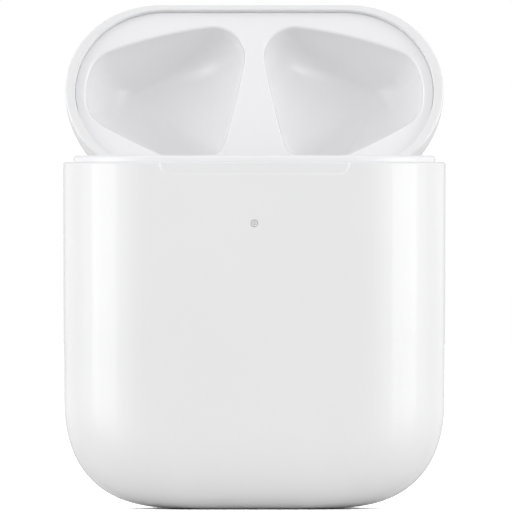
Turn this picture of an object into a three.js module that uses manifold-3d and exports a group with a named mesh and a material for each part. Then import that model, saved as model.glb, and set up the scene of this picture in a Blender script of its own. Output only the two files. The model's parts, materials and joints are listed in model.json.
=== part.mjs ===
// A charging case for a pair of wireless earbuds, standing on its base with the lid open.
// Units are millimetres, +Z is up and the case faces -Y. The pieces are laid out in the case's own frame,
// with the lid shut, z = 0 at the base and x = y = 0 on the body's centre line. The lid's group then turns
// about the hinge pin, and the whole case is set so that the origin lies under the middle of the open case.

import * as THREE from "three";
import { mergeVertices } from "three/addons/utils/BufferGeometryUtils.js";
import Module from "manifold-3d";

const wasm = await Module();
wasm.setup();

// ---------------------------------------------------------------- driving dimensions

const WIDTH = 44.3;
const DEPTH = 21.3;
const CLOSED_HEIGHT = 53.5;
const SEAM_Z = 40.1; // top edge of the body's shell
const SEAM_GAP = 0.25; // between the two shells when the lid is shut
const LID_RIM_Z = SEAM_Z + SEAM_GAP;
const OPEN_ANGLE = 109; // degrees from shut to the open stop
const BODY_CENTRE_Y = -8.9; // the body's centre line, ahead of the middle of the open case

// Plan outline: a straight face, then an end that bends gently out of it.
const STRAIGHT_SHARE = 0.48; // of the half width
const END_BEND = 2.15; // above 2 the end leaves the straight face without a kink
const QUARTER_STEPS = 10;
const QUARTER_END_STEPS = 8;

// Rounding of the base and of the lid's top, seen from the front and from the side.
const CORNER = { reachX: 15.0, heightX: 12.6, reachY: 6.4, heightY: 9.0, rise: 2.25, run: 3.0 };
const PROFILE_STEPS = 7;

// Shells
const SIDE_WALL = 1.15;
const FACE_WALL = 0.68;
const FLOOR = 1.3;
const EDGE = 0.3; // rounding of the shells' edges along the seam

// Tray in the body and liner in the lid
const FIT_GAP = 0.12; // between a liner and its shell
const PLATE = 1.2;
const TRAY_TOP_Z = SEAM_Z + 0.75; // the tray stands proud of the shell and enters the lid
const LINER_FACE_Z = TRAY_TOP_Z + 0.3;
const LINER_WALL = 0.6;
const SUNK = 0.4; // how far below the plate's face a pocket's outer wall starts
// Each pocket narrows towards its deepest point. A larger bend makes its walls steeper.
const TRAY_POCKET = { depth: 7.5, deepest: { x: -8.8, y: 0.2 }, bend: 2.3 };
const LID_POCKET = { depth: 8.5, deepest: { x: -13.8, y: -2.8 }, bend: 2.0 };
const STEM = { x: 5.8, bore: 3.6, wall: 0.7, floorZ: 10.2, underZ: 9.3 };

// Pocket outline for one earbud head, left side: corner circles joined by long arcs that touch both.
// Each corner is its centre, its radius and the radius of the arc to the next corner.
const POCKET_CORNERS = [
  { x: -4.8, y: -4.4, r: 3.7, arc: 50 },
  { x: -15.8, y: -1.7, r: 3.6, arc: 9 },
  { x: -16.0, y: 0.8, r: 3.7, arc: 70 },
  { x: -9.9, y: 5.6, r: 2.3, arc: 40 },
  { x: -5.6, y: 5.6, r: 2.3, arc: 130 },
];

// Hinge
const HINGE = { y: 10.0, z: 39.5, barrel: 0.66, pin: 0.3, bore: 0.36, halfWidth: 9.3, lidHalf: 4.8 };
const HINGE_NOTCH_Z = 35.7;
const HINGE_NOTCH_TOP = 41.5;
const HINGE_RELIEF_Y = 8.85;

// Thumb recess under the seam, on the front
const THUMB = { width: 22.1, height: 1.55, depth: 0.3, corner: 1.3 };

// Small parts
const LED_Z = 33.0;
const LED_RADIUS = 0.38;
const BUTTON = { z: 27.0, radius: 2.1, flange: 2.7, travel: 0.25 };
const PORT = { width: 7.8, height: 2.5, depth: 6.4 };
const RING = { width: 10.2, height: 4.6, thick: 1.15 };
const COIL = { z: 14.4, inner: 4.0, outer: 9.0, turns: 6 };

// ---------------------------------------------------------------- materials

const finish = (color, roughness, metalness = 0) =>
  new THREE.MeshStandardMaterial({ color, roughness, metalness });

const GLOSS_WHITE = finish(0xf2f2f4, 0.12);
const TRAY_WHITE = finish(0xececef, 0.2);
const STEEL = finish(0xc9cbce, 0.32, 1);
const ALUMINIUM = finish(0xd6d8da, 0.38, 1);
const MAGNET = finish(0xaeb0b4, 0.3, 1);
const BLACK_PLASTIC = finish(0x1b1c1e, 0.5);
const BOARD = finish(0x14382a, 0.45);
const FLEX = finish(0x9a5a1c, 0.4);
const CHIP = finish(0x202225, 0.4);
const GOLD = finish(0xd8a848, 0.3, 1);
const COPPER = finish(0xb87045, 0.35, 1);
const FERRITE = finish(0x3a3c3f, 0.7);
const POUCH = finish(0xb6b9bc, 0.4, 1);
const LENS = finish(0xcfd0d4, 0.25);

// ---------------------------------------------------------------- solids

// A closed mesh as a solid that can be cut and joined.
function solid(geometry) {
  const bare = geometry.clone();
  bare.deleteAttribute("normal");
  bare.deleteAttribute("uv");
  const merged = mergeVertices(bare, 1e-4);
  return new wasm.Manifold(
    new wasm.Mesh({
      numProp: 3,
      vertProperties: new Float32Array(merged.attributes.position.array),
      triVerts: new Uint32Array(merged.index.array),
    }),
  );
}

// A cut solid as a geometry again.
function geometryOf(made) {
  const mesh = made.getMesh();
  return new THREE.BufferGeometry()
    .setAttribute("position", new THREE.BufferAttribute(mesh.vertProperties, 3))
    .setIndex(new THREE.BufferAttribute(mesh.triVerts, 1));
}

const joined = (...geometries) =>
  geometries.map(solid).reduce((whole, next) => whole.add(next));

const cutFrom = (base, ...cutters) =>
  geometryOf(cutters.map(solid).reduce((left, cutter) => left.subtract(cutter), base));

// A box between two corners.
function block(low, high) {
  const size = high.map((value, i) => value - low[i]);
  const middle = high.map((value, i) => (value + low[i]) / 2);
  return new THREE.BoxGeometry(...size).translate(...middle);
}

// A round rod along an axis, from one coordinate to another, about a centre in the other two.
function rod(axis, radius, from, to, centre, sides = 16) {
  const made = new THREE.CylinderGeometry(radius, radius, to - from, sides);
  const middle = (from + to) / 2;
  if (axis === "x") return made.rotateZ(Math.PI / 2).translate(middle, centre[0], centre[1]);
  if (axis === "y") return made.translate(centre[0], middle, centre[1]);
  return made.rotateX(Math.PI / 2).translate(centre[0], centre[1], middle);
}

// A rounded rectangle about the origin.
function roundedShape(width, height, corner) {
  const x = width / 2 - corner;
  const y = height / 2 - corner;
  const shape = new THREE.Shape();
  shape.absarc(x, y, corner, 0, Math.PI / 2);
  shape.absarc(-x, y, corner, Math.PI / 2, Math.PI);
  shape.absarc(-x, -y, corner, Math.PI, Math.PI * 1.5);
  shape.absarc(x, -y, corner, Math.PI * 1.5, Math.PI * 2);
  return shape;
}

// A flat shape given thickness. "z" keeps it level; "y" stands it up, facing the front.
function slab(shape, axis, from, to, centre = [0, 0], curveSegments = 4) {
  const made = new THREE.ExtrudeGeometry(shape, { depth: to - from, bevelEnabled: false, curveSegments });
  if (axis === "z") return made.translate(centre[0], centre[1], from);
  return made.rotateX(Math.PI / 2).translate(centre[0], to, centre[1]);
}

// A skin over rings of equal length, closed by a flat fan over the first and over the last.
function loft(rings) {
  const count = rings[0].length;
  const points = rings.flat();
  const faces = [];
  for (let ring = 0; ring < rings.length - 1; ring++) {
    for (let i = 0; i < count; i++) {
      const here = ring * count + i;
      const next = ring * count + ((i + 1) % count);
      faces.push(here, next, next + count, here, next + count, here + count);
    }
  }
  const cap = (ring, startsLoft) => {
    const middle = ring
      .reduce((sum, point) => sum.map((value, k) => value + point[k]), [0, 0, 0])
      .map((value) => value / count);
    points.push(middle);
    const first = startsLoft ? 0 : (rings.length - 1) * count;
    for (let i = 0; i < count; i++) {
      const a = first + i;
      const b = first + ((i + 1) % count);
      faces.push(points.length - 1, ...(startsLoft ? [b, a] : [a, b]));
    }
  };
  cap(rings[0], true);
  cap(rings[rings.length - 1], false);
  return new THREE.BufferGeometry()
    .setAttribute("position", new THREE.Float32BufferAttribute(points.flat(), 3))
    .setIndex(faces);
}

// ---------------------------------------------------------------- the case's form

// One quarter of the plan outline, t = 0 at the side and t = 1 at the middle of the face.
function quarterPoint(halfWidth, halfDepth, step) {
  const straight = STRAIGHT_SHARE * halfWidth;
  if (step <= QUARTER_END_STEPS) {
    const angle = (step / QUARTER_END_STEPS) * (Math.PI / 2);
    const along = Math.max(Math.cos(angle), 0) ** (2 / END_BEND);
    return [straight + (halfWidth - straight) * along, halfDepth * Math.sin(angle)];
  }
  const left = (QUARTER_STEPS - step) / (QUARTER_STEPS - QUARTER_END_STEPS);
  return [straight * left, halfDepth];
}

// The whole plan outline at a height, anticlockwise from above.
function planRing(halfWidth, halfDepth, z) {
  return Array.from({ length: 4 * QUARTER_STEPS }, (_, i) => {
    const quarter = Math.floor(i / QUARTER_STEPS);
    const step = i % QUARTER_STEPS;
    const [x, y] = quarterPoint(halfWidth, halfDepth, quarter % 2 ? QUARTER_STEPS - step : step);
    return [quarter === 1 || quarter === 2 ? -x : x, quarter < 2 ? y : -y, z];
  });
}

// How far the rounded end of the form draws in at a height above its flat.
function drawIn(above, reach, height) {
  if (above >= height) return 0;
  return reach * (1 - (1 - (1 - above / height) ** CORNER.rise) ** (1 / CORNER.run));
}

// Heights above the flat that follow the rounding evenly.
const profileHeights = Array.from({ length: PROFILE_STEPS + 1 }, (_, i) => {
  const angle = (i / PROFILE_STEPS) * (Math.PI / 2);
  return CORNER.heightX * (1 - Math.max(Math.cos(angle), 0) ** (2 / CORNER.rise));
});

// A ring of the form, a height above its flat, with walls taken off.
function formRing(above, z, sideWall = 0, faceWall = 0) {
  const halfWidth = WIDTH / 2 - sideWall - drawIn(above, CORNER.reachX, CORNER.heightX);
  const halfDepth = DEPTH / 2 - faceWall - drawIn(above, CORNER.reachY, CORNER.heightY);
  return planRing(halfWidth, halfDepth, z);
}

// A cup with rounded lip, from its flat outside to its flat inside.
function cup(height) {
  const outside = profileHeights.map((z) => formRing(z, z));
  const lip = [1, 0.7, 0.3, 0].map((share) => {
    const turn = (1 - share) * (Math.PI / 2);
    const inset = EDGE * (1 - Math.cos(turn));
    return formRing(height, height - EDGE * (1 - Math.sin(turn)), inset, inset);
  });
  const mouth = formRing(height, height, SIDE_WALL, FACE_WALL);
  const inside = profileHeights
    .filter((z) => z + FLOOR < height - EDGE)
    .map((z) => formRing(z, z + FLOOR, SIDE_WALL, FACE_WALL))
    .reverse();
  return loft([...outside, ...lip, mouth, ...inside]);
}

// The rear wall's opening for the hinge, between two heights.
const hingeNotch = (low, high) =>
  block([-HINGE.halfWidth - 0.2, 9.0, low], [HINGE.halfWidth + 0.2, DEPTH / 2 + 1, high]);

// ---------------------------------------------------------------- earbud pockets

// The pocket's outline, grown outward, as points anticlockwise from above.
function pocketOutline(grow) {
  const corners = POCKET_CORNERS.map((c) => ({ ...c, r: c.r + grow, arc: c.arc + grow }));
  const centres = corners.map((here, i) => arcCentre(here, corners[(i + 1) % corners.length], here.arc));
  const points = [];
  corners.forEach((corner, i) => {
    const before = centres[(i + corners.length - 1) % corners.length];
    const after = centres[i];
    sweep(points, corner, corner.r, bearing(before, corner), bearing(after, corner), 5);
    const next = corners[(i + 1) % corners.length];
    sweep(points, after, corner.arc, bearing(after, corner), bearing(after, next), 3);
  });
  return points.reverse();
}

const bearing = (from, to) => Math.atan2(to.y - from.y, to.x - from.x);

// The centre of an arc that touches two circles from outside them, on the pocket's inner side.
function arcCentre(a, b, radius) {
  const toA = radius - a.r;
  const toB = radius - b.r;
  const apart = Math.hypot(b.x - a.x, b.y - a.y);
  const along = (toA ** 2 - toB ** 2 + apart ** 2) / (2 * apart);
  const aside = Math.sqrt(toA ** 2 - along ** 2);
  const ux = (b.x - a.x) / apart;
  const uy = (b.y - a.y) / apart;
  return { x: a.x + ux * along + uy * aside, y: a.y + uy * along - ux * aside };
}

// Adds points along an arc, clockwise, leaving out its last.
function sweep(points, centre, radius, from, to, steps) {
  const turn = (((from - to) % (2 * Math.PI)) + 2 * Math.PI) % (2 * Math.PI);
  for (let i = 0; i < steps; i++) {
    const angle = from - (turn * i) / steps;
    points.push([centre.x + radius * Math.cos(angle), centre.y + radius * Math.sin(angle)]);
  }
}

// A bowl that narrows away from the pocket's mouth. toward is 1 upward, into the lid, or -1 downward.
function bowl({ deepest, bend }, mouthZ, depth, toward, grow, side) {
  const outline = pocketOutline(grow);
  const steps = 6;
  const levels = Array.from({ length: steps }, (_, i) => {
    const angle = (i / steps) * (Math.PI / 2);
    const share = Math.cos(angle) ** (2 / bend);
    const z = mouthZ + toward * depth * Math.sin(angle) ** (2 / bend);
    return outline.map(([x, y]) => [
      deepest.x + (x - deepest.x) * share,
      deepest.y + (y - deepest.y) * share,
      z,
    ]);
  });
  const above = outline.map(([x, y]) => [x, y, mouthZ - toward * (grow ? 0 : 1)]);
  const rings = grow ? levels : [above, ...levels];
  const placed = rings.map((ring) => (side > 0 ? ring.map(([x, y, z]) => [-x, y, z]).reverse() : ring));
  return loft(toward > 0 ? placed : placed.reverse());
}

// The plate that carries the pockets, inside the shell, with its outer edge rounded where it shows.
// floorZ is the level of the inside of the shell that it goes into.
function pocketPlate(faceZ, toward, floorZ) {
  const round = 0.35;
  const level = (z, inset) => formRing(Math.abs(floorZ - z), z, SIDE_WALL + inset, FACE_WALL + inset);
  const rings = [1, 0.6, 0.25, 0].map((share) => {
    const turn = (1 - share) * (Math.PI / 2);
    return level(faceZ + toward * round * (1 - Math.cos(turn)), FIT_GAP + round * (1 - Math.sin(turn)));
  });
  rings.push(level(faceZ + toward * PLATE, FIT_GAP));
  return loft(toward > 0 ? rings : rings.reverse());
}

const hingeRelief = (low, high) =>
  block([-HINGE.halfWidth - 0.4, HINGE_RELIEF_Y, low], [HINGE.halfWidth + 0.4, DEPTH / 2, high]);

// ---------------------------------------------------------------- body pieces

function outerShell() {
  const thumb = new THREE.Shape();
  const half = THUMB.width / 2;
  thumb.moveTo(-half, 2);
  thumb.lineTo(-half, -THUMB.height + THUMB.corner);
  thumb.absarc(-half + THUMB.corner, -THUMB.height + THUMB.corner, THUMB.corner, Math.PI, 1.5 * Math.PI);
  thumb.absarc(half - THUMB.corner, -THUMB.height + THUMB.corner, THUMB.corner, 1.5 * Math.PI, 2 * Math.PI);
  thumb.lineTo(half, 2);
  const front = -DEPTH / 2;
  return cutFrom(
    solid(cup(SEAM_Z)),
    hingeNotch(HINGE_NOTCH_Z, SEAM_Z + 1),
    slab(thumb, "y", front - 1, front + THUMB.depth, [0, SEAM_Z]),
    rod("y", LED_RADIUS + 0.07, front - 1, front + 2, [0, LED_Z], 12),
    rod("y", BUTTON.radius + 0.12, DEPTH / 2 - 2, DEPTH / 2 + 1, [0, BUTTON.z], 24),
    slab(roundedShape(RING.width + 0.2, RING.height + 0.2, RING.height / 2 + 0.09), "z", -1, FLOOR + 1),
  );
}

function earbudTray() {
  const sides = [-1, 1];
  const outerDepth = TRAY_POCKET.depth + LINER_WALL - SUNK;
  const whole = joined(
    pocketPlate(TRAY_TOP_Z, -1, FLOOR),
    ...sides.map((side) => bowl(TRAY_POCKET, TRAY_TOP_Z - SUNK, outerDepth, -1, LINER_WALL, side)),
    ...sides.map((side) =>
      rod("z", STEM.bore + STEM.wall, STEM.underZ, TRAY_TOP_Z - 3, [side * STEM.x, 0], 24),
    ),
  );
  return cutFrom(
    whole,
    ...sides.map((side) => bowl(TRAY_POCKET, TRAY_TOP_Z, TRAY_POCKET.depth, -1, 0, side)),
    ...sides.map((side) => rod("z", STEM.bore, STEM.floorZ, TRAY_TOP_Z - 2, [side * STEM.x, 0], 24)),
    ...CONTACT_PLACES.map(([x, y]) => rod("z", 0.6, 9, 11, [x, y], 12)),
    hingeRelief(34, TRAY_TOP_Z + 1),
  );
}

// Two charging contacts under each stem.
const CONTACT_PLACES = [-1, 1].flatMap((side) => [-1.4, 1.4].map((y) => [side * STEM.x, y]));

function contactPin([x, y]) {
  return geometryOf(joined(rod("z", 0.45, 8.95, 10.7, [x, y], 12), rod("z", 0.75, 8.95, 9.2, [x, y], 12)));
}

function hingeBodyLeaf() {
  const { y, z, barrel, bore, halfWidth, lidHalf } = HINGE;
  const inner = lidHalf + 0.2;
  const knuckles = [
    [-halfWidth, -inner],
    [inner, halfWidth],
  ].flatMap(([from, to]) => [rod("x", barrel, from, to, [y, z]), block([from, 9.45, 38.2], [to, 10.5, z])]);
  const plate = block([-halfWidth, 9.45, HINGE_NOTCH_Z + 0.2], [halfWidth, 10.5, z - barrel - 0.25]);
  const flange = block([-8, 8.95, 32.6], [8, 9.6, 37.0]);
  return cutFrom(joined(plate, flange, ...knuckles), rod("x", bore, -10, 10, [y, z]));
}

const hingePin = () => rod("x", HINGE.pin, -HINGE.halfWidth, HINGE.halfWidth, [HINGE.y, HINGE.z]);

// A leaf spring that presses on the lid's knuckle, so that the lid snaps open and shut.
function hingeDetentSpring() {
  const half = 1.4;
  const thick = 0.2;
  const foot = block([-half, 8.55, 32.8], [half, 8.55 + thick, 36.4]);
  const blade = block([-half, 8.2, 36.2], [half, 8.2 + thick, 38.6]);
  const step = block([-half, 8.2, 36.2], [half, 8.55 + thick, 36.4]);
  const tip = block([-half, 8.2, 38.4], [half, 8.7, 38.6]);
  return geometryOf(joined(foot, blade, step, tip));
}

function setupButton() {
  const rear = DEPTH / 2;
  const cap = rod("y", BUTTON.radius, 9.2, rear - 0.06, [0, BUTTON.z], 24);
  const flange = rod("y", BUTTON.flange, 8.95, 9.4, [0, BUTTON.z], 24);
  return geometryOf(joined(cap, flange));
}

function buttonSwitch() {
  const body = block([-1.7, 7.5, BUTTON.z - 1.7], [1.7, 8.2, BUTTON.z + 1.7]);
  const plunger = rod("y", 0.8, 8.1, 8.95 - BUTTON.travel - 0.05, [0, BUTTON.z], 12);
  return geometryOf(joined(body, plunger));
}

const buttonBoard = () => slab(roundedShape(9, 6, 0.8), "y", 7.0, 7.4, [0, BUTTON.z]);

function statusLedWindow() {
  const front = -DEPTH / 2;
  const light = rod("y", LED_RADIUS, front + 0.04, front + 1.3, [0, LED_Z], 12);
  const head = rod("y", 0.9, front + 1.0, front + 1.3, [0, LED_Z], 12);
  return geometryOf(joined(light, head));
}

// Receptacle at the base: a sprung steel shield round a moulded housing, behind a trim ring.
const PORT_MOUTH_Z = 1.35;
const PORT_TOP_Z = PORT_MOUTH_Z + PORT.depth + 0.55;

const slot = (width, height) => roundedShape(width, height, height / 2 - 0.01);

function portTrimRing() {
  return cutFrom(
    solid(slab(slot(RING.width, RING.height), "z", 0.08, RING.thick, [0, 0], 6)),
    slab(slot(PORT.width + 0.3, PORT.height + 0.3), "z", -1, 3, [0, 0], 6),
  );
}

function portHousing() {
  return cutFrom(
    solid(slab(slot(PORT.width + 0.8, PORT.height + 0.8), "z", PORT_MOUTH_Z, PORT_TOP_Z - 0.4)),
    slab(slot(PORT.width, PORT.height), "z", 0, PORT_MOUTH_Z + PORT.depth - 0.4),
  );
}

function portShield() {
  return cutFrom(
    solid(slab(slot(PORT.width + 1.7, PORT.height + 1.7), "z", PORT_MOUTH_Z, PORT_TOP_Z)),
    slab(slot(PORT.width + 1.1, PORT.height + 1.1), "z", 0, PORT_TOP_Z - 0.3),
  );
}

// A strip with an S bend in side view, from the contact board up to the main board.
function portFlex() {
  const shape = new THREE.Shape();
  const thick = 0.15;
  [
    [3.3, 8.7],
    [4.9, 8.7],
    [4.9, 9.3],
    [4.9 - thick, 9.3],
    [4.9 - thick, 8.7 + thick],
    [3.3, 8.7 + thick],
  ].forEach(([y, z], i) => (i ? shape.lineTo(y, z) : shape.moveTo(y, z)));
  return new THREE.ExtrudeGeometry(shape, { depth: 8, bevelEnabled: false })
    .rotateY(Math.PI / 2)
    .rotateX(Math.PI / 2)
    .translate(-4, 0, 0);
}

// Flat spiral of copper for charging on a pad.
function chargingCoil() {
  const pitch = (COIL.outer - COIL.inner) / COIL.turns;
  const wire = { wide: pitch - 0.25, thick: 0.5 };
  const stepsPerTurn = 20;
  const steps = COIL.turns * stepsPerTurn;
  const rings = Array.from({ length: steps + 1 }, (_, i) => {
    const angle = (i / stepsPerTurn) * 2 * Math.PI;
    const radius = COIL.inner + wire.wide / 2 + ((COIL.outer - wire.wide - COIL.inner) * i) / steps;
    return [
      [-1, -1],
      [1, -1],
      [1, 1],
      [-1, 1],
    ].map(([across, through]) => {
      const r = radius + (across * wire.wide) / 2;
      return [r * Math.cos(angle), 8.65 + (through * wire.thick) / 2, COIL.z + r * Math.sin(angle)];
    });
  });
  return loft(rings);
}

function ferriteSheet() {
  const disc = rod("y", COIL.outer + 0.3, 7.9, 8.25, [0, COIL.z], 32);
  return cutFrom(solid(disc), rod("y", 2.2, 7, 9, [0, COIL.z], 16));
}

function batteryCell() {
  const shape = roundedShape(27, 19.6, 1.2);
  const bevel = 0.5;
  return new THREE.ExtrudeGeometry(shape, {
    depth: 4.3 - 2 * bevel,
    bevelThickness: bevel,
    bevelSize: bevel,
    bevelOffset: -bevel,
    bevelSegments: 2,
    curveSegments: 3,
  })
    .rotateX(Math.PI / 2)
    .translate(0, -4.55 - bevel, 19.0);
}

// ---------------------------------------------------------------- lid pieces

// The lid's shell is the cup turned over about the x axis.
function lidShell() {
  const made = cup(CLOSED_HEIGHT - LID_RIM_Z).rotateX(Math.PI).translate(0, 0, CLOSED_HEIGHT);
  return cutFrom(solid(made), hingeNotch(LID_RIM_Z - 1, HINGE_NOTCH_TOP));
}

function lidLiner() {
  const sides = [-1, 1];
  const outerDepth = LID_POCKET.depth + LINER_WALL - SUNK;
  const whole = joined(
    pocketPlate(LINER_FACE_Z, 1, CLOSED_HEIGHT - FLOOR),
    ...sides.map((side) => bowl(LID_POCKET, LINER_FACE_Z + SUNK, outerDepth, 1, LINER_WALL, side)),
  );
  return cutFrom(
    whole,
    ...sides.map((side) => bowl(LID_POCKET, LINER_FACE_Z, LID_POCKET.depth, 1, 0, side)),
    hingeRelief(LINER_FACE_Z - 1, 46.2),
  );
}

function hingeLidLeaf() {
  const { y, z, barrel, bore, halfWidth, lidHalf } = HINGE;
  const knuckle = rod("x", barrel, -lidHalf, lidHalf, [y, z]);
  const web = block([-lidHalf, 9.35, z], [lidHalf, 10.4, 40.9]);
  const strip = block([-halfWidth, 9.2, 40.6], [halfWidth, 10.5, HINGE_NOTCH_TOP - 0.2]);
  const flange = block([-8, 9.0, 41.0], [8, 9.6, 45.6]);
  return cutFrom(joined(knuckle, web, strip, flange), rod("x", bore, -10, 10, [y, z]));
}

// A magnet in the front corner, the same place in the body and in the lid.
const cornerMagnet = (side, low, high) => {
  const near = side * 11.0;
  const far = side * 13.8;
  return block([Math.min(near, far), -8.95, low], [Math.max(near, far), -7.85, high]);
};

// ---------------------------------------------------------------- assembly

const earbudCase = new THREE.Group();
earbudCase.position.y = BODY_CENTRE_Y;

// The lid turns about the pin; inside its hinge group its pieces keep the shut layout.
const lidHinge = new THREE.Group();
lidHinge.position.set(0, HINGE.y, HINGE.z);
lidHinge.rotation.x = THREE.MathUtils.degToRad(-OPEN_ANGLE);
const lid = new THREE.Group();
lid.position.set(0, -HINGE.y, -HINGE.z);
lidHinge.add(lid);
earbudCase.add(lidHinge);

function add(group, name, geometry, material) {
  const mesh = new THREE.Mesh(geometry, material);
  mesh.name = name;
  group.add(mesh);
}

add(earbudCase, "outer_shell", outerShell(), GLOSS_WHITE);
add(earbudCase, "earbud_tray", earbudTray(), TRAY_WHITE);

add(earbudCase, "status_led_window", statusLedWindow(), LENS);
add(earbudCase, "status_led", block([-0.6, -9.2, LED_Z - 0.5], [0.6, -8.8, LED_Z + 0.5]), LENS);
add(earbudCase, "led_flex_board", block([-2.6, -8.7, 30.6], [2.6, -8.5, 36.2]), FLEX);
add(earbudCase, "lid_sensor", block([-0.9, -9.3, 34.8], [0.9, -8.8, 36.0]), CHIP);

add(earbudCase, "setup_button", setupButton(), GLOSS_WHITE);
add(earbudCase, "button_switch", buttonSwitch(), CHIP);
add(earbudCase, "button_board", buttonBoard(), BOARD);

add(earbudCase, "battery_cell", batteryCell(), POUCH);
add(earbudCase, "battery_protection_board", block([-11, -8.2, 29.2], [11, -7.3, 30.3]), BOARD);

add(earbudCase, "main_board", slab(roundedShape(24, 13, 1), "y", 5.0, 5.8, [0, 16.3]), BOARD);
add(earbudCase, "charge_controller", block([-8, 5.9, 16], [-3, 6.9, 21]), CHIP);
add(earbudCase, "microcontroller", block([-0.5, 5.9, 16.5], [3.5, 6.7, 20.5]), CHIP);
add(earbudCase, "power_inductor", block([5.5, 5.9, 17], [9.5, 7.2, 21]), FERRITE);

add(earbudCase, "charging_coil", chargingCoil(), COPPER);
add(earbudCase, "coil_ferrite_sheet", ferriteSheet(), FERRITE);

add(earbudCase, "port_trim_ring", portTrimRing(), ALUMINIUM);
add(earbudCase, "charging_port_housing", portHousing(), BLACK_PLASTIC);
add(earbudCase, "charging_port_shield", portShield(), STEEL);
add(earbudCase, "port_flex", portFlex(), FLEX);
add(earbudCase, "contact_board", block([-9, -3.1, 8.5], [9, 3.1, 8.8]), FLEX);
CONTACT_PLACES.forEach((place) => {
  const name = `${place[0] < 0 ? "left" : "right"}_${place[1] < 0 ? "front" : "rear"}_charge_contact`;
  add(earbudCase, name, contactPin(place), GOLD);
});

[-1, 1].forEach((side) => {
  const name = side < 0 ? "left" : "right";
  add(earbudCase, `${name}_latch_magnet`, cornerMagnet(side, 37.1, 39.5), MAGNET);
  add(earbudCase, `${name}_earbud_magnet`, rod("z", 2.4, 29.8, 32.0, [side * 14, 0.4], 20), MAGNET);
  add(lid, `${name}_lid_magnet`, cornerMagnet(side, 42.7, 44.9), MAGNET);
});

add(earbudCase, "hinge_body_leaf", hingeBodyLeaf(), STEEL);
add(earbudCase, "hinge_pin", hingePin(), STEEL);
add(earbudCase, "hinge_detent_spring", hingeDetentSpring(), STEEL);

add(lid, "lid_shell", lidShell(), GLOSS_WHITE);
add(lid, "lid_liner", lidLiner(), TRAY_WHITE);
add(lid, "hinge_lid_leaf", hingeLidLeaf(), STEEL);

export default earbudCase;
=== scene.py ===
"""The looks of a glossy white charging case for wireless earbuds, standing open on a white table.

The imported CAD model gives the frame. Fine smooth surfaces stand for its faceted shells and liners, and
every other CAD piece keeps its shape and gets its finish here. Shapes are worked out in millimetres in
the case's own layout, with the lid shut and x = y = 0 on the body's centre line, and then put in place.
"""

import json
import math
from functools import reduce

import bmesh
import bpy
import numpy as np
from mathutils import Matrix, Vector


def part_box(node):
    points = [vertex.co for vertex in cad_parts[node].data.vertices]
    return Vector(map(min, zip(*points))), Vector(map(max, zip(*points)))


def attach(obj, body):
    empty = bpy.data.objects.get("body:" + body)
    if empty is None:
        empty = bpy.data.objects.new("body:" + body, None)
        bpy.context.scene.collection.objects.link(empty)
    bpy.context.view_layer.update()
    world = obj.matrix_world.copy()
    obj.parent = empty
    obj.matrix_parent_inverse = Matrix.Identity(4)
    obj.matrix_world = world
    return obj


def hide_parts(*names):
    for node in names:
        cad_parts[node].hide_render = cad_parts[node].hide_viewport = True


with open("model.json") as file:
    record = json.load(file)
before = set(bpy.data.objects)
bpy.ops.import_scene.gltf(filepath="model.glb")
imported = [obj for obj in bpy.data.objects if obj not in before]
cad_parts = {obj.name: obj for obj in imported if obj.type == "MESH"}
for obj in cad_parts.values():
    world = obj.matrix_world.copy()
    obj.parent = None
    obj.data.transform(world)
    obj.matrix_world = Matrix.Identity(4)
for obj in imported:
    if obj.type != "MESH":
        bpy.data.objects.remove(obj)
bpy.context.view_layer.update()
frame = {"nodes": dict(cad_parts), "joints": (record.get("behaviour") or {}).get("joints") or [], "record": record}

# ------------------------------------------------------------------ driving dimensions, in millimetres

MM = 0.001


def cad_box(node):
    """A CAD node's lowest and highest corner, in millimetres."""
    return [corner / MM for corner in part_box(node)]


BODY_LOW, BODY_HIGH = cad_box("outer_shell")
WIDTH = BODY_HIGH.x - BODY_LOW.x
DEPTH = BODY_HIGH.y - BODY_LOW.y
SEAM_Z = BODY_HIGH.z
BODY_Y = (BODY_HIGH.y + BODY_LOW.y) / 2
HINGE_JOINT = next(joint for joint in frame["joints"] if joint["name"] == "lid_hinge")
HINGE_Y = HINGE_JOINT["pos_m"][1] / MM - BODY_Y
HINGE_Z = HINGE_JOINT["pos_m"][2] / MM
OPEN_ANGLE = math.radians(HINGE_JOINT["range_deg"][1])

CLOSED_HEIGHT = 53.5
SEAM_GAP = 0.25
LID_RIM_Z = SEAM_Z + SEAM_GAP

STRAIGHT_SHARE = 0.48  # of the half width, the flat stretch of each face
END_BEND = 2.15
CORNER_REACH = (15.0, 6.4)  # how far the base rounding draws in, across and in depth
CORNER_HEIGHT = (12.6, 9.0)
CORNER_RISE = 2.25
CORNER_RUN = 3.0
DRAFT = 0.12  # the sides narrow by this much from the seam down to the base

SIDE_WALL = 1.15
FACE_WALL = 0.68
FLOOR = 1.3
OUTER_EDGE = 0.28
INNER_EDGE = 0.07

FIT_GAP = 0.02
PLATE = 1.2
TRAY_TOP_Z = SEAM_Z + 0.75
LINER_FACE_Z = TRAY_TOP_Z + 0.3
LINER_WALL = 0.6
TRAY_EDGE = 0.4
LINER_EDGE = 0.05

THUMB = {"width": 22.1, "height": 1.55, "depth": 0.15, "corner": 1.3, "soft": 0.34}

# Pocket outline for one earbud head, on the left: corner circles (x, y, radius) joined by long arcs.
POCKET_CORNERS = [
    (-4.8, -4.4, 3.7, 50),
    (-15.8, -1.7, 3.6, 9),
    (-16.0, 0.8, 3.7, 70),
    (-9.9, 5.6, 2.3, 40),
    (-5.6, 5.6, 2.3, 130),
]
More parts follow.
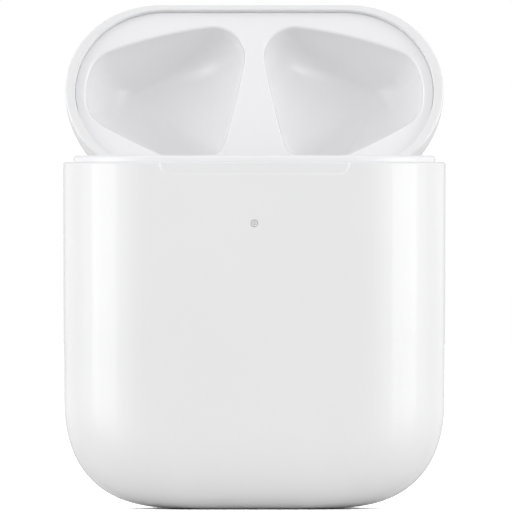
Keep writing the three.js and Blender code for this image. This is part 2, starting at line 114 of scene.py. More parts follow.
# Each pocket narrows towards its deepest point. A larger bend makes its walls steeper.
TRAY_POCKET = {"depth": 7.5, "deepest": np.array([-8.8, 0.2]), "bend": 2.3}
LID_POCKET = {"depth": 8.5, "deepest": np.array([-13.8, -2.8]), "bend": 2.0}
SUNK = 0.4  # how far below the plate's face a pocket's outer wall starts
STEM_X = 5.8
STEM_BORE = 3.6
STEM_FLOOR_Z = 10.2
STEM_EDGE = 0.5  # rounding at the bore's floor
STEM_WALL_RADIUS = 4.3
STEM_UNDER_Z = 9.3

NOTCH_HALF = 9.5
BODY_NOTCH_Z = 35.7
LID_NOTCH_Z = 41.5
RELIEF_Y = 8.85

BUTTON_Z = 27.0
BUTTON_RADIUS = 2.1
BUTTON_GAP = 0.1
BUTTON_SUNK = 0.06
FLANGE = {"radius": 2.7, "front": 8.95, "rear": 9.4}

LED_Z = 33.0
LED_RADIUS = 0.38
LED_GAP = 0.04
LENS_RADIUS = 0.22

PORT_OPENING = (10.36, 4.76)
PORT_RING_OUTER = (10.2, 4.6)
PORT_RING_INNER = (8.1, 2.8)
PORT_RING_TOP = 1.15
BLADES = {"count": 8, "pitch": 0.72, "half": 0.17, "wall": 1.24, "edge": 0.02}

# Studio light, in units of the white background's brightness
ROOM_LIGHT = 0.7
FILL_LIGHT = 1.35  # broad and to the sides
SIDE_LIGHT = 0.94  # low, from the front round to the sides
BAND_LIGHT = 1.2  # added where the crisp tall panels stand
BEHIND_LIGHT = 0.48
FLOOR_BOUNCE = 0.8  # what the table gives back to the case
FLOOR_GAIN = 2.2  # how bright it looks, which keeps the shadow small

# ------------------------------------------------------------------ placing

TO_ROW = Matrix.Scale(MM, 4) @ Matrix.Translation((0, BODY_Y, 0))
HINGE_POINT = Vector((0, HINGE_Y, HINGE_Z))
LID_OPEN = (
    Matrix.Translation(HINGE_POINT)
    @ Matrix.Rotation(-OPEN_ANGLE, 4, "X")
    @ Matrix.Translation(-HINGE_POINT)
)
BODY_PLACE = TO_ROW
LID_PLACE = TO_ROW @ LID_OPEN


def smooth_by_angle(mesh, degrees):
    """Shades a mesh smooth, with creases where it turns by more than an angle."""
    mesh.shade_smooth()
    mesh.set_sharp_from_angle(angle=math.radians(degrees))


def mesh_object(name, points, faces):
    """An object, in the collection, from points and faces."""
    mesh = bpy.data.meshes.new(name)
    mesh.from_pydata([tuple(point) for point in points], [], faces)
    mesh.validate()
    made = bpy.data.objects.new(name, mesh)
    bpy.context.collection.objects.link(made)
    return made


def loft(name, rings, closed_start=True, closed_end=True):
    """A skin over rings of points with equal counts. Its ends close with flat faces unless told not to."""
    count = len(rings[0])
    points = np.concatenate(rings)
    here = np.arange(count)
    following = (here + 1) % count
    faces = []
    for ring in range(len(rings) - 1):
        low = ring * count
        high = low + count
        quads = np.stack([here + low, following + low, following + high, here + high], axis=1)
        faces.extend(quads.tolist())
    if closed_start:
        faces.append(here[::-1].tolist())
    if closed_end:
        faces.append((here + (len(rings) - 1) * count).tolist())
    made = mesh_object(name, points, faces)
    face_out(made.data)
    return made


def face_out(mesh):
    """Turns a closed mesh's faces outward."""
    work = bmesh.new()
    work.from_mesh(mesh)
    if work.calc_volume(signed=True) < 0:
        bmesh.ops.reverse_faces(work, faces=work.faces)
        work.to_mesh(mesh)
    work.free()


def merge(target, others, operation):
    """Cuts other solids out of a target, or unites them with it, for good."""
    for other in others:
        modifier = target.modifiers.new("merge", "BOOLEAN")
        modifier.operation = operation
        modifier.solver = "EXACT"
        modifier.object = other
    bake(target)
    for other in others:
        bpy.data.objects.remove(other)


def cut(target, *cutters):
    merge(target, cutters, "DIFFERENCE")


def join(target, *others):
    merge(target, others, "UNION")


def bake(target):
    """Applies a piece's modifiers to its mesh."""
    evaluated = target.evaluated_get(bpy.context.evaluated_depsgraph_get())
    baked = bpy.data.meshes.new_from_object(evaluated)
    target.modifiers.clear()
    target.data = baked


def finish_piece(made, place, body, material, slot, *nodes, angle=32, weighted=False):
    """Puts a piece in place, shades it, and says what it rides on and stands for."""
    made.data.transform(place)
    smooth_by_angle(made.data, angle)
    if weighted:
        modifier = made.modifiers.new("even shading", "WEIGHTED_NORMAL")
        modifier.keep_sharp = True
        modifier.weight = 100
    made.data.materials.clear()
    made.data.materials.append(material)
    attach(made, body)
    if nodes:
        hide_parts(*nodes)
    return made


# ------------------------------------------------------------------ the case's form

def quarter_parameters():
    """Shares along a quarter of the plan outline, evenly spread and closer at the thumb recess's ends."""
    dense = np.linspace(0, 1, 4001)
    x, y = quarter_xy(WIDTH / 2, DEPTH / 2, dense)
    step = np.hypot(np.diff(x), np.diff(y))
    closeness = 1 + 3 * np.exp(-(((x[:-1] + x[1:]) / 2 - THUMB["width"] / 2) / 0.45) ** 2)
    travelled = np.concatenate([[0], np.cumsum(step * closeness)])
    count = round(travelled[-1] / 0.24)
    return np.interp(np.linspace(0, travelled[-1], count + 1), travelled, dense)


def quarter_xy(half_width, half_depth, share):
    """Points of a quarter of the plan outline, share 0 at the side and 1 at the middle of the face."""
    straight = STRAIGHT_SHARE * half_width
    end_share = 0.75
    angle = np.clip(share / end_share, 0, 1) * math.pi / 2
    along = np.clip(np.cos(angle), 0, 1) ** (2 / END_BEND)
    x = straight + (half_width - straight) * along
    on_face = np.clip((1 - share) / (1 - end_share), 0, 1)
    x = np.where(share > end_share, straight * on_face, x)
    return x, half_depth * np.sin(angle)


QUARTER = quarter_parameters()


def plan_ring(half_width, half_depth, z):
    """The plan outline at a height, anticlockwise from above, starting at +X."""
    x, y = quarter_xy(half_width, half_depth, QUARTER)
    x = np.concatenate([x[:-1], -x[::-1][:-1], -x[:-1], x[::-1][:-1]])
    y = np.concatenate([y[:-1], y[::-1][:-1], -y[:-1], -y[::-1][:-1]])
    return np.stack([x, y, np.full_like(x, z)], axis=1)


def draw_in(above, axis):
    """How far the rounded end of the form draws in at a height above its flat."""
    share = np.clip(1 - above / CORNER_HEIGHT[axis], 0, 1)
    return CORNER_REACH[axis] * (1 - (1 - share ** CORNER_RISE) ** (1 / CORNER_RUN))


def form_ring(above, z, side_wall=0.0, face_wall=0.0, draft=0.0):
    """A ring of the form, a height above its flat, with walls taken off."""
    taper = draft * max(0, 1 - above / SEAM_Z)
    half_width = WIDTH / 2 - side_wall - taper - draw_in(above, 0)
    half_depth = DEPTH / 2 - face_wall - draw_in(above, 1)
    return plan_ring(half_width, half_depth, z)


def profile_heights(count):
    """Heights above the flat that follow the rounding evenly."""
    angle = np.linspace(0, math.pi / 2, count + 1)
    return CORNER_HEIGHT[0] * (1 - np.clip(np.cos(angle), 0, 1) ** (2 / CORNER_RISE))


def shrunk(ring, share):
    """A flat ring drawn towards the middle."""
    return ring * np.array([share, share, 1])


def lip_rings(height):
    """The rings over a cup's lip, from the outside in."""
    rings = []
    for turn in np.linspace(0, math.pi / 2, 9)[1:]:
        inset = OUTER_EDGE * (1 - math.cos(turn))
        z = height - OUTER_EDGE * (1 - math.sin(turn))
        rings.append(form_ring(height, z, inset, inset))
    for turn in np.linspace(0, math.pi / 2, 5):
        inset = INNER_EDGE * (1 - math.sin(turn))
        z = height - INNER_EDGE * (1 - math.cos(turn))
        rings.append(form_ring(height, z, SIDE_WALL - inset, FACE_WALL - inset))
    return rings


def wall_heights(height):
    """Heights of the rings up a cup's straight walls. A tall cup has close ones near its lip."""
    start = CORNER_HEIGHT[0]
    end = height - OUTER_EDGE
    if height < start + 3:
        return np.linspace(start, end, 4)[1:]
    fine_from = height - 2.3
    count = round((fine_from - start) / 1.5)
    walls = np.linspace(start, fine_from, count)[1:]
    fine = np.linspace(fine_from, end, 34)[1:]
    return np.concatenate([walls, fine])


def cup_rings(height, draft):
    """The rings of a cup, from the middle of its base up the outside, over the lip and down the inside."""
    heights = [*profile_heights(44), *wall_heights(height)]
    outside = [form_ring(z, z, draft=draft) for z in heights]
    base = [shrunk(outside[0], share) for share in (0.02, 0.3, 0.55, 0.75, 0.88, 0.96)]
    inside_heights = profile_heights(20)
    inside_heights = inside_heights[inside_heights + FLOOR < height - 0.5]
    inside = [form_ring(z, z + FLOOR, SIDE_WALL, FACE_WALL, draft) for z in inside_heights[::-1]]
    inside.append(shrunk(inside[-1], 0.02))
    return base + outside + lip_rings(height) + inside


def press_thumb_recess(rings):
    """Pushes the front face in under the seam, where a thumb lifts the lid."""
    half = THUMB["width"] / 2
    low = SEAM_Z - THUMB["height"]
    corner = THUMB["corner"]
    for ring in rings:
        x, y, z = ring.T
        past_x = np.maximum(np.abs(x) - (half - corner), 0)
        past_z = np.maximum(corner - (z - low), 0)
        inward = corner - np.where((past_x > 0) | (past_z > 0), np.hypot(past_x, past_z), 0)
        share = np.clip(inward / THUMB["soft"], 0, 1)
        share = share * share * (3 - 2 * share)
        outer = (y < -(DEPTH / 2 - FACE_WALL / 2)) & (z > low - 0.5)
        ring[:, 1] += np.where(outer, share * THUMB["depth"], 0)
    return rings


def turned(name, profile, z, sides=64, closed=True):
    """A solid turned about an axis along Y, from (radius, y) points. An open one is a ring."""
    angle = np.linspace(0, 2 * math.pi, sides, endpoint=False)
    rings = [
        np.stack([r * np.cos(angle), np.full_like(angle, y), z + r * np.sin(angle)], axis=1)
        for r, y in profile
    ]
    return loft(name, rings, closed, closed)


def slot_ring(width, height, z, steps=16):
    """A slot outline with round ends, level, about the centre."""
    radius = height / 2
    reach = width / 2 - radius
    angle = np.linspace(-math.pi / 2, math.pi / 2, steps)
    x = np.concatenate([reach + radius * np.cos(angle), -reach - radius * np.cos(angle)])
    y = np.concatenate([radius * np.sin(angle), -radius * np.sin(angle)])
    return np.stack([x, y, np.full_like(x, z)], axis=1)


def notch_cutter(low, high, corner_low, corner_high):
    """A cutter for the hinge's opening in a rear wall, with a corner radius at each end."""
    corners = [
        (NOTCH_HALF - corner_low, low + corner_low, corner_low),
        (NOTCH_HALF - corner_high, high - corner_high, corner_high),
        (-NOTCH_HALF + corner_high, high - corner_high, corner_high),
        (-NOTCH_HALF + corner_low, low + corner_low, corner_low),
    ]
    outline = []
    for quarter, (x, z, radius) in enumerate(corners):
        start = (quarter - 1) * math.pi / 2
        for angle in np.linspace(start, start + math.pi / 2, 8):
            outline.append((x + radius * math.cos(angle), z + radius * math.sin(angle)))
    rings = [np.array([(x, y, z) for x, z in outline]) for y in (DEPTH / 2 + 1, 9.0)]
    return loft("notch_cutter", rings)


# ------------------------------------------------------------------ earbud pockets

def bearing(start, end):
    """The direction from one point to another."""
    return math.atan2(end[1] - start[1], end[0] - start[0])


def arc_centre(a, b, radius):
    """The centre of an arc that holds two circles inside it and touches both."""
    to_a = radius - a[2]
    to_b = radius - b[2]
    apart = math.hypot(b[0] - a[0], b[1] - a[1])
    along = (to_a ** 2 - to_b ** 2 + apart ** 2) / (2 * apart)
    aside = math.sqrt(to_a ** 2 - along ** 2)
    ux = (b[0] - a[0]) / apart
    uy = (b[1] - a[1]) / apart
    return a[0] + ux * along + uy * aside, a[1] + uy * along - ux * aside


def sweep(centre, radius, start, end, steps):
    """Points along an arc, clockwise, without its last."""
    turn = (start - end) % (2 * math.pi)
    angle = start - turn * np.arange(steps) / steps
    return np.stack([centre[0] + radius * np.cos(angle), centre[1] + radius * np.sin(angle)], axis=1)


def pocket_outline(grow=0.0):
    """The pocket's outline, grown outward, anticlockwise from above."""
    corners = [(x, y, r + grow, arc + grow) for x, y, r, arc in POCKET_CORNERS]
    following = corners[1:] + corners[:1]
    centres = [arc_centre(here, there, here[3]) for here, there in zip(corners, following)]
    points = []
    for i, corner in enumerate(corners):
        before = centres[i - 1]
        after = centres[i]
        points.append(sweep(corner, corner[2], bearing(before, corner), bearing(after, corner), 22))
        points.append(sweep(after, corner[3], bearing(after, corner), bearing(after, following[i]), 16))
    return np.concatenate(points)[::-1]


def bowl_ring(pocket, outline, share, z):
    """A pocket's outline drawn towards its deepest point, at a height."""
    ring = pocket["deepest"] + (outline - pocket["deepest"]) * share
    return np.column_stack([ring, np.full(len(ring), z)])


def bowl_rings(pocket, face_z, toward, flare):
    """Rings of a pocket, from above its mouth to its depth. Its lip flares out to meet the face smoothly."""
    rings = [bowl_ring(pocket, pocket_outline(flare), 1, face_z - toward * lift) for lift in (1.0, 0.0)]
    for turn in np.linspace(0, math.pi / 2, 7)[1:]:
        outline = pocket_outline(flare * (1 - math.sin(turn)))
        rings.append(bowl_ring(pocket, outline, 1, face_z + toward * flare * (1 - math.cos(turn))))
    outline = pocket_outline()
    for angle in np.linspace(0, math.pi / 2, 27)[1:]:
        share = max(math.cos(angle), 0.0) ** (2 / pocket["bend"])
        down = flare + (pocket["depth"] - flare) * math.sin(angle) ** (2 / pocket["bend"])
        rings.append(bowl_ring(pocket, outline, max(share, 0.02), face_z + toward * down))
    return rings


def on_side(rings, side):
    """Rings made for the left, mirrored for the right."""
    if side < 0:
        return rings
    return [(ring * np.array([-1, 1, 1]))[::-1] for ring in rings]


def pocket_cutter(pocket, face_z, toward, flare, side):
    """The hollow of a pocket, with its flared lip."""
    rings = bowl_rings(pocket, face_z, toward, flare)
    return loft("pocket_cutter", on_side(rings[::toward], side))


def pocket_tub(pocket, face_z, toward, side):
    """The outside of a pocket's wall."""
    outline = pocket_outline(LINER_WALL)
    rings = []
    for angle in np.linspace(0, math.pi / 2, 13):
        share = max(math.cos(angle), 0.0) ** (2 / pocket["bend"])
        down = SUNK + (pocket["depth"] + LINER_WALL - SUNK) * math.sin(angle) ** (2 / pocket["bend"])
        rings.append(bowl_ring(pocket, outline, max(share, 0.02), face_z + toward * down))
    return loft("tub", on_side(rings[::toward], side))


def stem_ring(side, radius, z, sides):
    """A level circle about a stem's axis."""
    angle = np.linspace(0, 2 * math.pi, sides, endpoint=False)
    x = side * STEM_X + radius * np.cos(angle)
    return np.stack([x, radius * np.sin(angle), np.full_like(angle, z)], axis=1)


def stem_cutter(side):
    """A cutter for a stem's bore, rounded at its floor."""
    profile = [(STEM_BORE - STEM_EDGE, STEM_FLOOR_Z)]
    for turn in np.linspace(0, math.pi / 2, 6)[1:]:
        radius = STEM_BORE - STEM_EDGE * (1 - math.sin(turn))
        profile.append((radius, STEM_FLOOR_Z + STEM_EDGE * (1 - math.cos(turn))))
    profile.append((STEM_BORE, TRAY_TOP_Z - 2))
    return loft("stem_cutter", [stem_ring(side, radius, z, 72) for radius, z in profile])


def stem_tub(side):
    """The outside of a stem well's wall."""
    heights = (STEM_UNDER_Z, TRAY_TOP_Z - 3)
    return loft("stem_tub", [stem_ring(side, STEM_WALL_RADIUS, z, 48) for z in heights])


def plate_rings(face_z, toward, floor_z, edge):
    """Rings of the plate round the pockets, from its back to its face, with the face's edge rounded."""
    def level(z, inset):
        return form_ring(abs(floor_z - z), z, SIDE_WALL + inset, FACE_WALL + inset)

    rings = [level(face_z + toward * PLATE, FIT_GAP)]
    for turn in np.linspace(0, math.pi / 2, 9):
        z = face_z + toward * edge * (1 - math.sin(turn))
        rings.append(level(z, FIT_GAP + edge * (1 - math.cos(turn))))
    return rings if toward < 0 else rings[::-1]


# ------------------------------------------------------------------ materials

def principled(name, color, roughness, metallic=0.0):
    """A material with a Principled shader and its values set on its own sockets."""
    material = bpy.data.materials.new(name)
    material.use_nodes = True
    shader = material.node_tree.nodes["Principled BSDF"]
    shader.inputs["Base Color"].default_value = (*color, 1)
    shader.inputs["Roughness"].default_value = roughness
    shader.inputs["Metallic"].default_value = metallic
    shader.inputs["IOR"].default_value = 1.5
    return material, shader


def object_noise(material, scale, detail, roughness=0.55):
    """Noise that sits still on the piece, counted in waves per metre."""
    nodes = material.node_tree.nodes
    coordinates = nodes.new("ShaderNodeTexCoord")
    noise = nodes.new("ShaderNodeTexNoise")
    noise.inputs["Scale"].default_value = scale
    noise.inputs["Detail"].default_value = detail
    noise.inputs["Roughness"].default_value = roughness
    material.node_tree.links.new(coordinates.outputs["Object"], noise.inputs["Vector"])
    return noise.outputs["Fac"]


def ramp(material, factor, low, high):
    """A colour ramp between two grey levels or two colours."""
    node = material.node_tree.nodes.new("ShaderNodeValToRGB")
    for element, value, position in zip(node.color_ramp.elements, (low, high), (0.3, 0.7)):
        element.position = position
        element.color = (*value, 1) if isinstance(value, tuple) else (value, value, value, 1)
    material.node_tree.links.new(factor, node.inputs["Fac"])
    return node.outputs["Color"]


def add_bump(material, shader, height, distance, strength):
    """Fine relief, with its height in metres."""
    bump = material.node_tree.nodes.new("ShaderNodeBump")
    bump.inputs["Distance"].default_value = distance
    bump.inputs["Strength"].default_value = strength
    material.node_tree.links.new(height, bump.inputs["Height"])
    material.node_tree.links.new(bump.outputs["Normal"], shader.inputs["Normal"])


def gloss_white(name, color, roughness, spread):
    """Moulded white plastic, whose shade and polish vary a little from place to place."""
    material, shader = principled(name, color, roughness)
    links = material.node_tree.links
    broad = object_noise(material, 60, 2)
    tint = tuple(channel * 0.985 for channel in color)
    links.new(ramp(material, broad, tint, color), shader.inputs["Base Color"])
    fine = object_noise(material, 900, 3)
    links.new(ramp(material, fine, roughness - spread, roughness + spread), shader.inputs["Roughness"])
    add_bump(material, shader, object_noise(material, 5000, 2), 0.0000012, 0.5)
    return material


def metal(name, color, roughness, grain, along):
    """Metal with a fine grain drawn along one axis."""
    material, shader = principled(name, color, roughness, metallic=1.0)
    nodes = material.node_tree.nodes
    links = material.node_tree.links
    coordinates = nodes.new("ShaderNodeTexCoord")
    mapping = nodes.new("ShaderNodeMapping")
    mapping.inputs["Scale"].default_value = along
    noise = nodes.new("ShaderNodeTexNoise")
    noise.inputs["Scale"].default_value = 1.0
    noise.inputs["Detail"].default_value = 5
    links.new(coordinates.outputs["Object"], mapping.inputs["Vector"])
    links.new(mapping.outputs["Vector"], noise.inputs["Vector"])
    uneven = ramp(material, noise.outputs["Fac"], roughness - grain, roughness + grain)
    links.new(uneven, shader.inputs["Roughness"])
    add_bump(material, shader, noise.outputs["Fac"], 0.000004, 0.6)
    return material


def speckled(name, low, high, roughness, scale):
    """Plastic, film or ceramic whose colour and surface vary finely."""
    material, shader = principled(name, high, roughness)
    noise = object_noise(material, scale, 5, 0.65)
    material.node_tree.links.new(ramp(material, noise, low, high), shader.inputs["Base Color"])
    add_bump(material, shader, noise, 0.000003, 0.6)
    return material


MATERIALS = {
    "shell_white": gloss_white("shell_white", (0.82, 0.82, 0.828), 0.05, 0.01),
    "tray_white": gloss_white("tray_white", (0.868, 0.865, 0.881), 0.2, 0.03),
    "led_lens": speckled("led_lens", (0.6, 0.6, 0.62), (0.68, 0.68, 0.7), 0.2, 4000),
    "hinge_steel": metal("hinge_steel", (0.62, 0.63, 0.64), 0.3, 0.06, (400, 9000, 9000)),
    "port_aluminium": metal("port_aluminium", (0.78, 0.79, 0.8), 0.24, 0.05, (2500, 2500, 200)),
    "magnet_nickel": metal("magnet_nickel", (0.6, 0.59, 0.57), 0.2, 0.03, (1500, 1500, 1500)),
    "port_black": speckled("port_black", (0.012, 0.012, 0.014), (0.03, 0.03, 0.033), 0.5, 6000),
    "board_green": speckled("board_green", (0.012, 0.075, 0.045), (0.02, 0.12, 0.07), 0.4, 2500),
    "flex_amber": speckled("flex_amber", (0.3, 0.12, 0.02), (0.42, 0.18, 0.04), 0.35, 2500),
    "chip_black": speckled("chip_black", (0.014, 0.014, 0.016), (0.03, 0.03, 0.034), 0.55, 8000),
    "contact_gold": metal("contact_gold", (0.78, 0.52, 0.2), 0.22, 0.04, (3000, 3000, 3000)),
    "coil_copper": metal("coil_copper", (0.66, 0.3, 0.16), 0.28, 0.05, (3000, 800, 3000)),
    "ferrite_grey": speckled("ferrite_grey", (0.03, 0.03, 0.033), (0.07, 0.07, 0.075), 0.75, 6000),
    "battery_pouch": metal("battery_pouch", (0.55, 0.56, 0.57), 0.38, 0.08, (700, 700, 700)),
}

LENS_COLLAR = speckled("lens_collar", (0.8, 0.8, 0.81), (0.86, 0.86, 0.87), 0.4, 4000)

# ------------------------------------------------------------------ body pieces


def case_shell():
    """The body's outer shell, with its openings."""
    made = loft("case_shell", press_thumb_recess(cup_rings(SEAM_Z, DRAFT)))
    front = -DEPTH / 2
    rear = DEPTH / 2
    light_radius = LED_RADIUS + LED_GAP
    button_radius = BUTTON_RADIUS + BUTTON_GAP
    cut(
        made,
        notch_cutter(BODY_NOTCH_Z, SEAM_Z + 1, 0.5, 0.3),
        turned("light_cutter", [(light_radius, front - 1), (light_radius, front + 2)], LED_Z),
        turned("button_cutter", [(button_radius, rear - 2), (button_radius, rear + 1)], BUTTON_Z, 96),
        loft("port_cutter", [slot_ring(*PORT_OPENING, z) for z in (-1, FLOOR + 1)]),
    )
    return finish_piece(
        made, BODY_PLACE, "case_body", MATERIALS["shell_white"], "shell_white", "outer_shell"
    )


def status_window():
    """The light's small round window: a domed lens in a paler collar."""
    front = -DEPTH / 2
    edge = LENS_RADIUS - 0.01
    lens = [
        (0.02, front + 0.03),
        (0.1, front + 0.04),
        (0.17, front + 0.07),
        (edge, front + 0.12),
        (edge, front + 1.2),
        (0.02, front + 1.2),
    ]
    made = turned("status_window", lens, LED_Z)
    finish_piece(made, BODY_PLACE, "case_body", MATERIALS["led_lens"], "led_lens", "status_led_window")
    collar = [
        (LENS_RADIUS, front + 0.1),
        (LENS_RADIUS + 0.03, front + 0.06),
        (LED_RADIUS - 0.04, front + 0.04),
        (LED_RADIUS, front + 0.08),
        (LED_RADIUS, front + 0.9),
        (LENS_RADIUS, front + 0.9),
        (LENS_RADIUS, front + 0.1),
    ]
    made = turned("status_collar", collar, LED_Z, closed=False)
    finish_piece(made, BODY_PLACE, "case_body", LENS_COLLAR, "led_lens")


def pairing_button():
    """A round button with a softly turned edge, a very shallow dish and a flange behind the shell."""
    rear = DEPTH / 2 - BUTTON_SUNK
    profile = [
        (0.02, rear - 0.05),
        (0.7, rear - 0.045),
        (1.3, rear - 0.03),
        (1.7, rear - 0.008),
        (1.85, rear),
        (1.95, rear - 0.01),
        (2.04, rear - 0.05),
        (2.09, rear - 0.12),
        (BUTTON_RADIUS, rear - 0.2),
        (BUTTON_RADIUS, FLANGE["rear"]),
        (FLANGE["radius"], FLANGE["rear"]),
        (FLANGE["radius"], FLANGE["front"]),
        (0.02, FLANGE["front"]),
    ]
    made = turned("pairing_button", profile[::-1], BUTTON_Z, 96)
    return finish_piece(
        made, BODY_PLACE, "button", MATERIALS["shell_white"], "shell_white", "setup_button"
    )


def port_contacts():
    """Gilt contact blades in a row on the rear wall of the charging port."""
    profile = [(0.0, 1.9), (0.06, 1.75), (0.14, 1.9), (0.14, 4.6), (0.05, 4.9), (0.0, 4.9)]
    half = BLADES["half"]
    blades = []
    for place in range(BLADES["count"]):
        middle = (place - (BLADES["count"] - 1) / 2) * BLADES["pitch"]
        rings = [
            np.array([(x, BLADES["wall"] - out, z) for out, z in profile])
            for x in (middle - half, middle + half)
        ]
        blades.append(loft("blade", rings))
    made = blades.pop(0)
    join(made, *blades)
    made.name = "port_contacts"
    bevel = made.modifiers.new("edge", "BEVEL")
    bevel.width = BLADES["edge"]
    bevel.segments = 2
    bake(made)
    return finish_piece(made, BODY_PLACE, "case_body", MATERIALS["contact_gold"], "contact_gold")


def inner_tray():
    """The tray: a plate with head pockets and stem wells that have walls of their own under it."""
    made = loft("inner_tray", plate_rings(TRAY_TOP_Z, -1, FLOOR, TRAY_EDGE))
    tubs = []
    cutters = []
    for side in (-1, 1):
        tubs.append(pocket_tub(TRAY_POCKET, TRAY_TOP_Z, -1, side))
        tubs.append(stem_tub(side))
        cutters.append(pocket_cutter(TRAY_POCKET, TRAY_TOP_Z, -1, 0.45, side))
        cutters.append(stem_cutter(side))
    cutters.append(hinge_relief(34, TRAY_TOP_Z + 1))
    join(made, *tubs)
    cut(made, *cutters)
    return finish_piece(
        made, BODY_PLACE, "case_body", MATERIALS["tray_white"], "tray_white", "earbud_tray", weighted=True
    )


def hinge_relief(low, high):
    """A cutter that clears a liner or the tray round the hinge."""
    half = NOTCH_HALF + 0.2
    rear = DEPTH / 2
    outline = [(-half, RELIEF_Y), (half, RELIEF_Y), (half, rear), (-half, rear)]
    return loft("relief", [np.array([(x, y, z) for x, y in outline]) for z in (low, high)])


def port_ring():
    """The metal ring round the port, with chamfered edges."""
    levels = [  # outline, height and how far the outline grows there
        (PORT_RING_INNER, PORT_RING_TOP, 0),
        (PORT_RING_INNER, 0.25, 0),
        (PORT_RING_INNER, 0.08, 0.17),
        (PORT_RING_OUTER, 0.08, -0.12),
        (PORT_RING_OUTER, 0.2, 0),
        (PORT_RING_OUTER, PORT_RING_TOP, 0),
    ]
    rings = [
        slot_ring(width + 2 * grow, height + 2 * grow, z, 24)
        for (width, height), z, grow in levels
    ]
    rings.append(rings[0])
    made = loft("port_ring", rings[::-1], closed_start=False, closed_end=False)
    finish = MATERIALS["port_aluminium"]
    return finish_piece(
        made, BODY_PLACE, "case_body", finish, "port_aluminium", "port_trim_ring", angle=25
    )


# ------------------------------------------------------------------ lid pieces

TURN_OVER = Matrix.Translation((0, 0, CLOSED_HEIGHT)) @ Matrix.Rotation(math.pi, 4, "X")


def lid_cover():
    """The lid's outer shell."""
    made = loft("lid_cover", cup_rings(CLOSED_HEIGHT - LID_RIM_Z, 0.0))
    made.data.transform(TURN_OVER)
    cut(made, notch_cutter(LID_RIM_Z - 1, LID_NOTCH_Z, 0.3, 0.5))
    return finish_piece(made, LID_PLACE, "lid", MATERIALS["shell_white"], "shell_white", "lid_shell")


def lid_inner():
    """The lid's liner: a plate with two pockets."""
    made = loft("lid_inner", plate_rings(LINER_FACE_Z, 1, CLOSED_HEIGHT - FLOOR, LINER_EDGE))
    join(made, *[pocket_tub(LID_POCKET, LINER_FACE_Z, 1, side) for side in (-1, 1)])
    cutters = [pocket_cutter(LID_POCKET, LINER_FACE_Z, 1, 0.3, side) for side in (-1, 1)]
    cutters.append(hinge_relief(LINER_FACE_Z - 1, 46.2))
    cut(made, *cutters)
    return finish_piece(
        made, LID_PLACE, "lid", MATERIALS["tray_white"], "tray_white", "lid_liner", weighted=True
    )


# ------------------------------------------------------------------ CAD pieces that keep their shape


def dress_cad_nodes():
    """Gives every CAD piece that still shows its finish, and softens its edges."""
    slots = {part["node"]: part["material_slot"] for part in frame["record"]["subparts"]}
    for node, made in frame["nodes"].items():
        made.data.materials.clear()
        made.data.materials.append(MATERIALS[slots[node]])
        bevel = made.modifiers.new("edge", "BEVEL")
        bevel.width = 0.06 * MM
        bevel.segments = 2
        bevel.limit_method = "ANGLE"
        bevel.angle_limit = math.radians(40)
        bevel.harden_normals = True


# ------------------------------------------------------------------ stage, light and camera


def eased(tree, value, start, end, low, high):
    """A value carried smoothly from one range to another."""
    node = tree.nodes.new("ShaderNodeMapRange")
    node.interpolation_type = "SMOOTHSTEP"
    numbers = {"From Min": start, "From Max": end, "To Min": low, "To Max": high}
    for name, number in numbers.items():
        node.inputs[name].default_value = number
    tree.links.new(value, node.inputs["Value"])
    return node.outputs["Result"]


def combined(tree, operation, *values):
    """The result of an operation on sockets and plain numbers."""
    node = tree.nodes.new("ShaderNodeMath")
    node.operation = operation
    for value, socket in zip(values, node.inputs):
        if isinstance(value, float):
            socket.default_value = value
        else:
            tree.links.new(value, socket)
    return node.outputs[0]


def stage_floor():
    """A white table. The case sees it polished, and the camera sees it matt, with no mirror image."""
    half = 2.6
    z = -0.00002  # just clear of the base
    corners = [(-half, -half, z), (half, -half, z), (half, half, z), (-half, half, z)]
    made = mesh_object("floor", corners, [[0, 1, 2, 3]])
    material, shader = principled("floor_white", (FLOOR_BOUNCE,) * 3, 0.08)
    nodes = material.node_tree.nodes
    links = material.node_tree.links
    matt = nodes.new("ShaderNodeBsdfDiffuse")
    matt.inputs["Color"].default_value = (FLOOR_GAIN,) * 3 + (1,)
    path = nodes.new("ShaderNodeLightPath")
    choice = nodes.new("ShaderNodeMixShader")
    links.new(path.outputs["Is Camera Ray"], choice.inputs["Fac"])
    links.new(shader.outputs["BSDF"], choice.inputs[1])
    links.new(matt.outputs["BSDF"], choice.inputs[2])
    links.new(choice.outputs["Shader"], nodes["Material Output"].inputs["Surface"])
    made.data.materials.append(material)


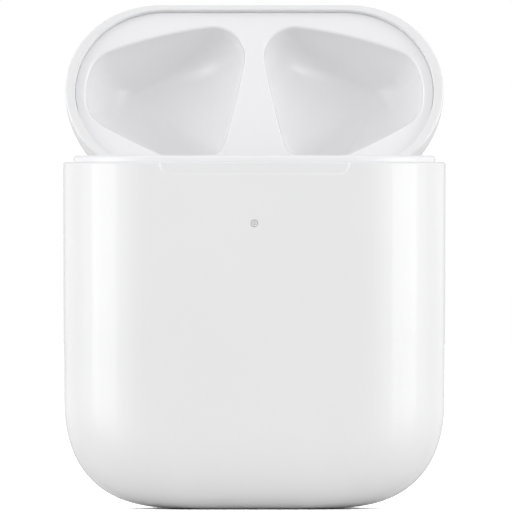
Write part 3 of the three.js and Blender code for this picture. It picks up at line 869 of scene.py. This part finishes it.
def studio():
    """An even room with broad light aside, a crisp tall panel low on each side, and light behind."""
    world = bpy.data.worlds.new("studio")
    world.use_nodes = True
    tree = world.node_tree
    coordinates = tree.nodes.new("ShaderNodeTexCoord")
    direction = tree.nodes.new("ShaderNodeSeparateXYZ")
    tree.links.new(coordinates.outputs["Generated"], direction.inputs[0])
    x, y, z = direction.outputs
    aside = combined(tree, "ABSOLUTE", x)
    low = eased(tree, z, 0.12, 0.4, 1.0, 0.0)
    wide = eased(tree, z, 0.35, 0.8, 1.0, 0.0)
    before_side = eased(tree, y, -0.14, 0.0, 1.0, 0.0)
    lights = [
        [eased(tree, aside, 0.2, 0.92, 0.0, FILL_LIGHT), eased(tree, y, -0.1, 0.45, 1.0, 0.0), wide],
        [eased(tree, y, -1.0, -0.66, 0.0, SIDE_LIGHT), before_side, low],
        [eased(tree, y, -0.68, -0.63, 0.0, BAND_LIGHT), before_side, low],
        [eased(tree, y, -0.12, 0.05, 0.0, BEHIND_LIGHT), eased(tree, y, 0.8, 0.99, 1.0, 0.0), low],
    ]
    products = [reduce(lambda a, b: combined(tree, "MULTIPLY", a, b), factors) for factors in lights]
    light = reduce(lambda a, b: combined(tree, "ADD", a, b), products, ROOM_LIGHT)
    path = tree.nodes.new("ShaderNodeLightPath")
    background = tree.nodes["Background"]
    strength = combined(tree, "MAXIMUM", light, path.outputs["Is Camera Ray"])
    tree.links.new(strength, background.inputs["Strength"])
    background.inputs["Color"].default_value = (1, 1, 1, 1)
    bpy.context.scene.world = world


def camera():
    """A long lens straight ahead, level with the middle of the open case."""
    distance = 1.4
    frame_width = 0.05933
    data = bpy.data.cameras.new("camera")
    data.sensor_width = 36
    data.lens = data.sensor_width * distance / frame_width
    data.clip_start = 0.1
    data.clip_end = 20
    made = bpy.data.objects.new("camera", data)
    bpy.context.collection.objects.link(made)
    made.location = (0.000185, BODY_Y * MM - distance, 0.02924)
    made.rotation_euler = (math.pi / 2, 0, 0)
    scene = bpy.context.scene
    scene.camera = made
    scene.view_settings.view_transform = "Standard"
    scene.view_settings.look = "None"


# ------------------------------------------------------------------ building

dress_cad_nodes()
camera()
studio()
stage_floor()
case_shell()
inner_tray()
status_window()
pairing_button()
port_ring()
port_contacts()
lid_cover()
lid_inner()
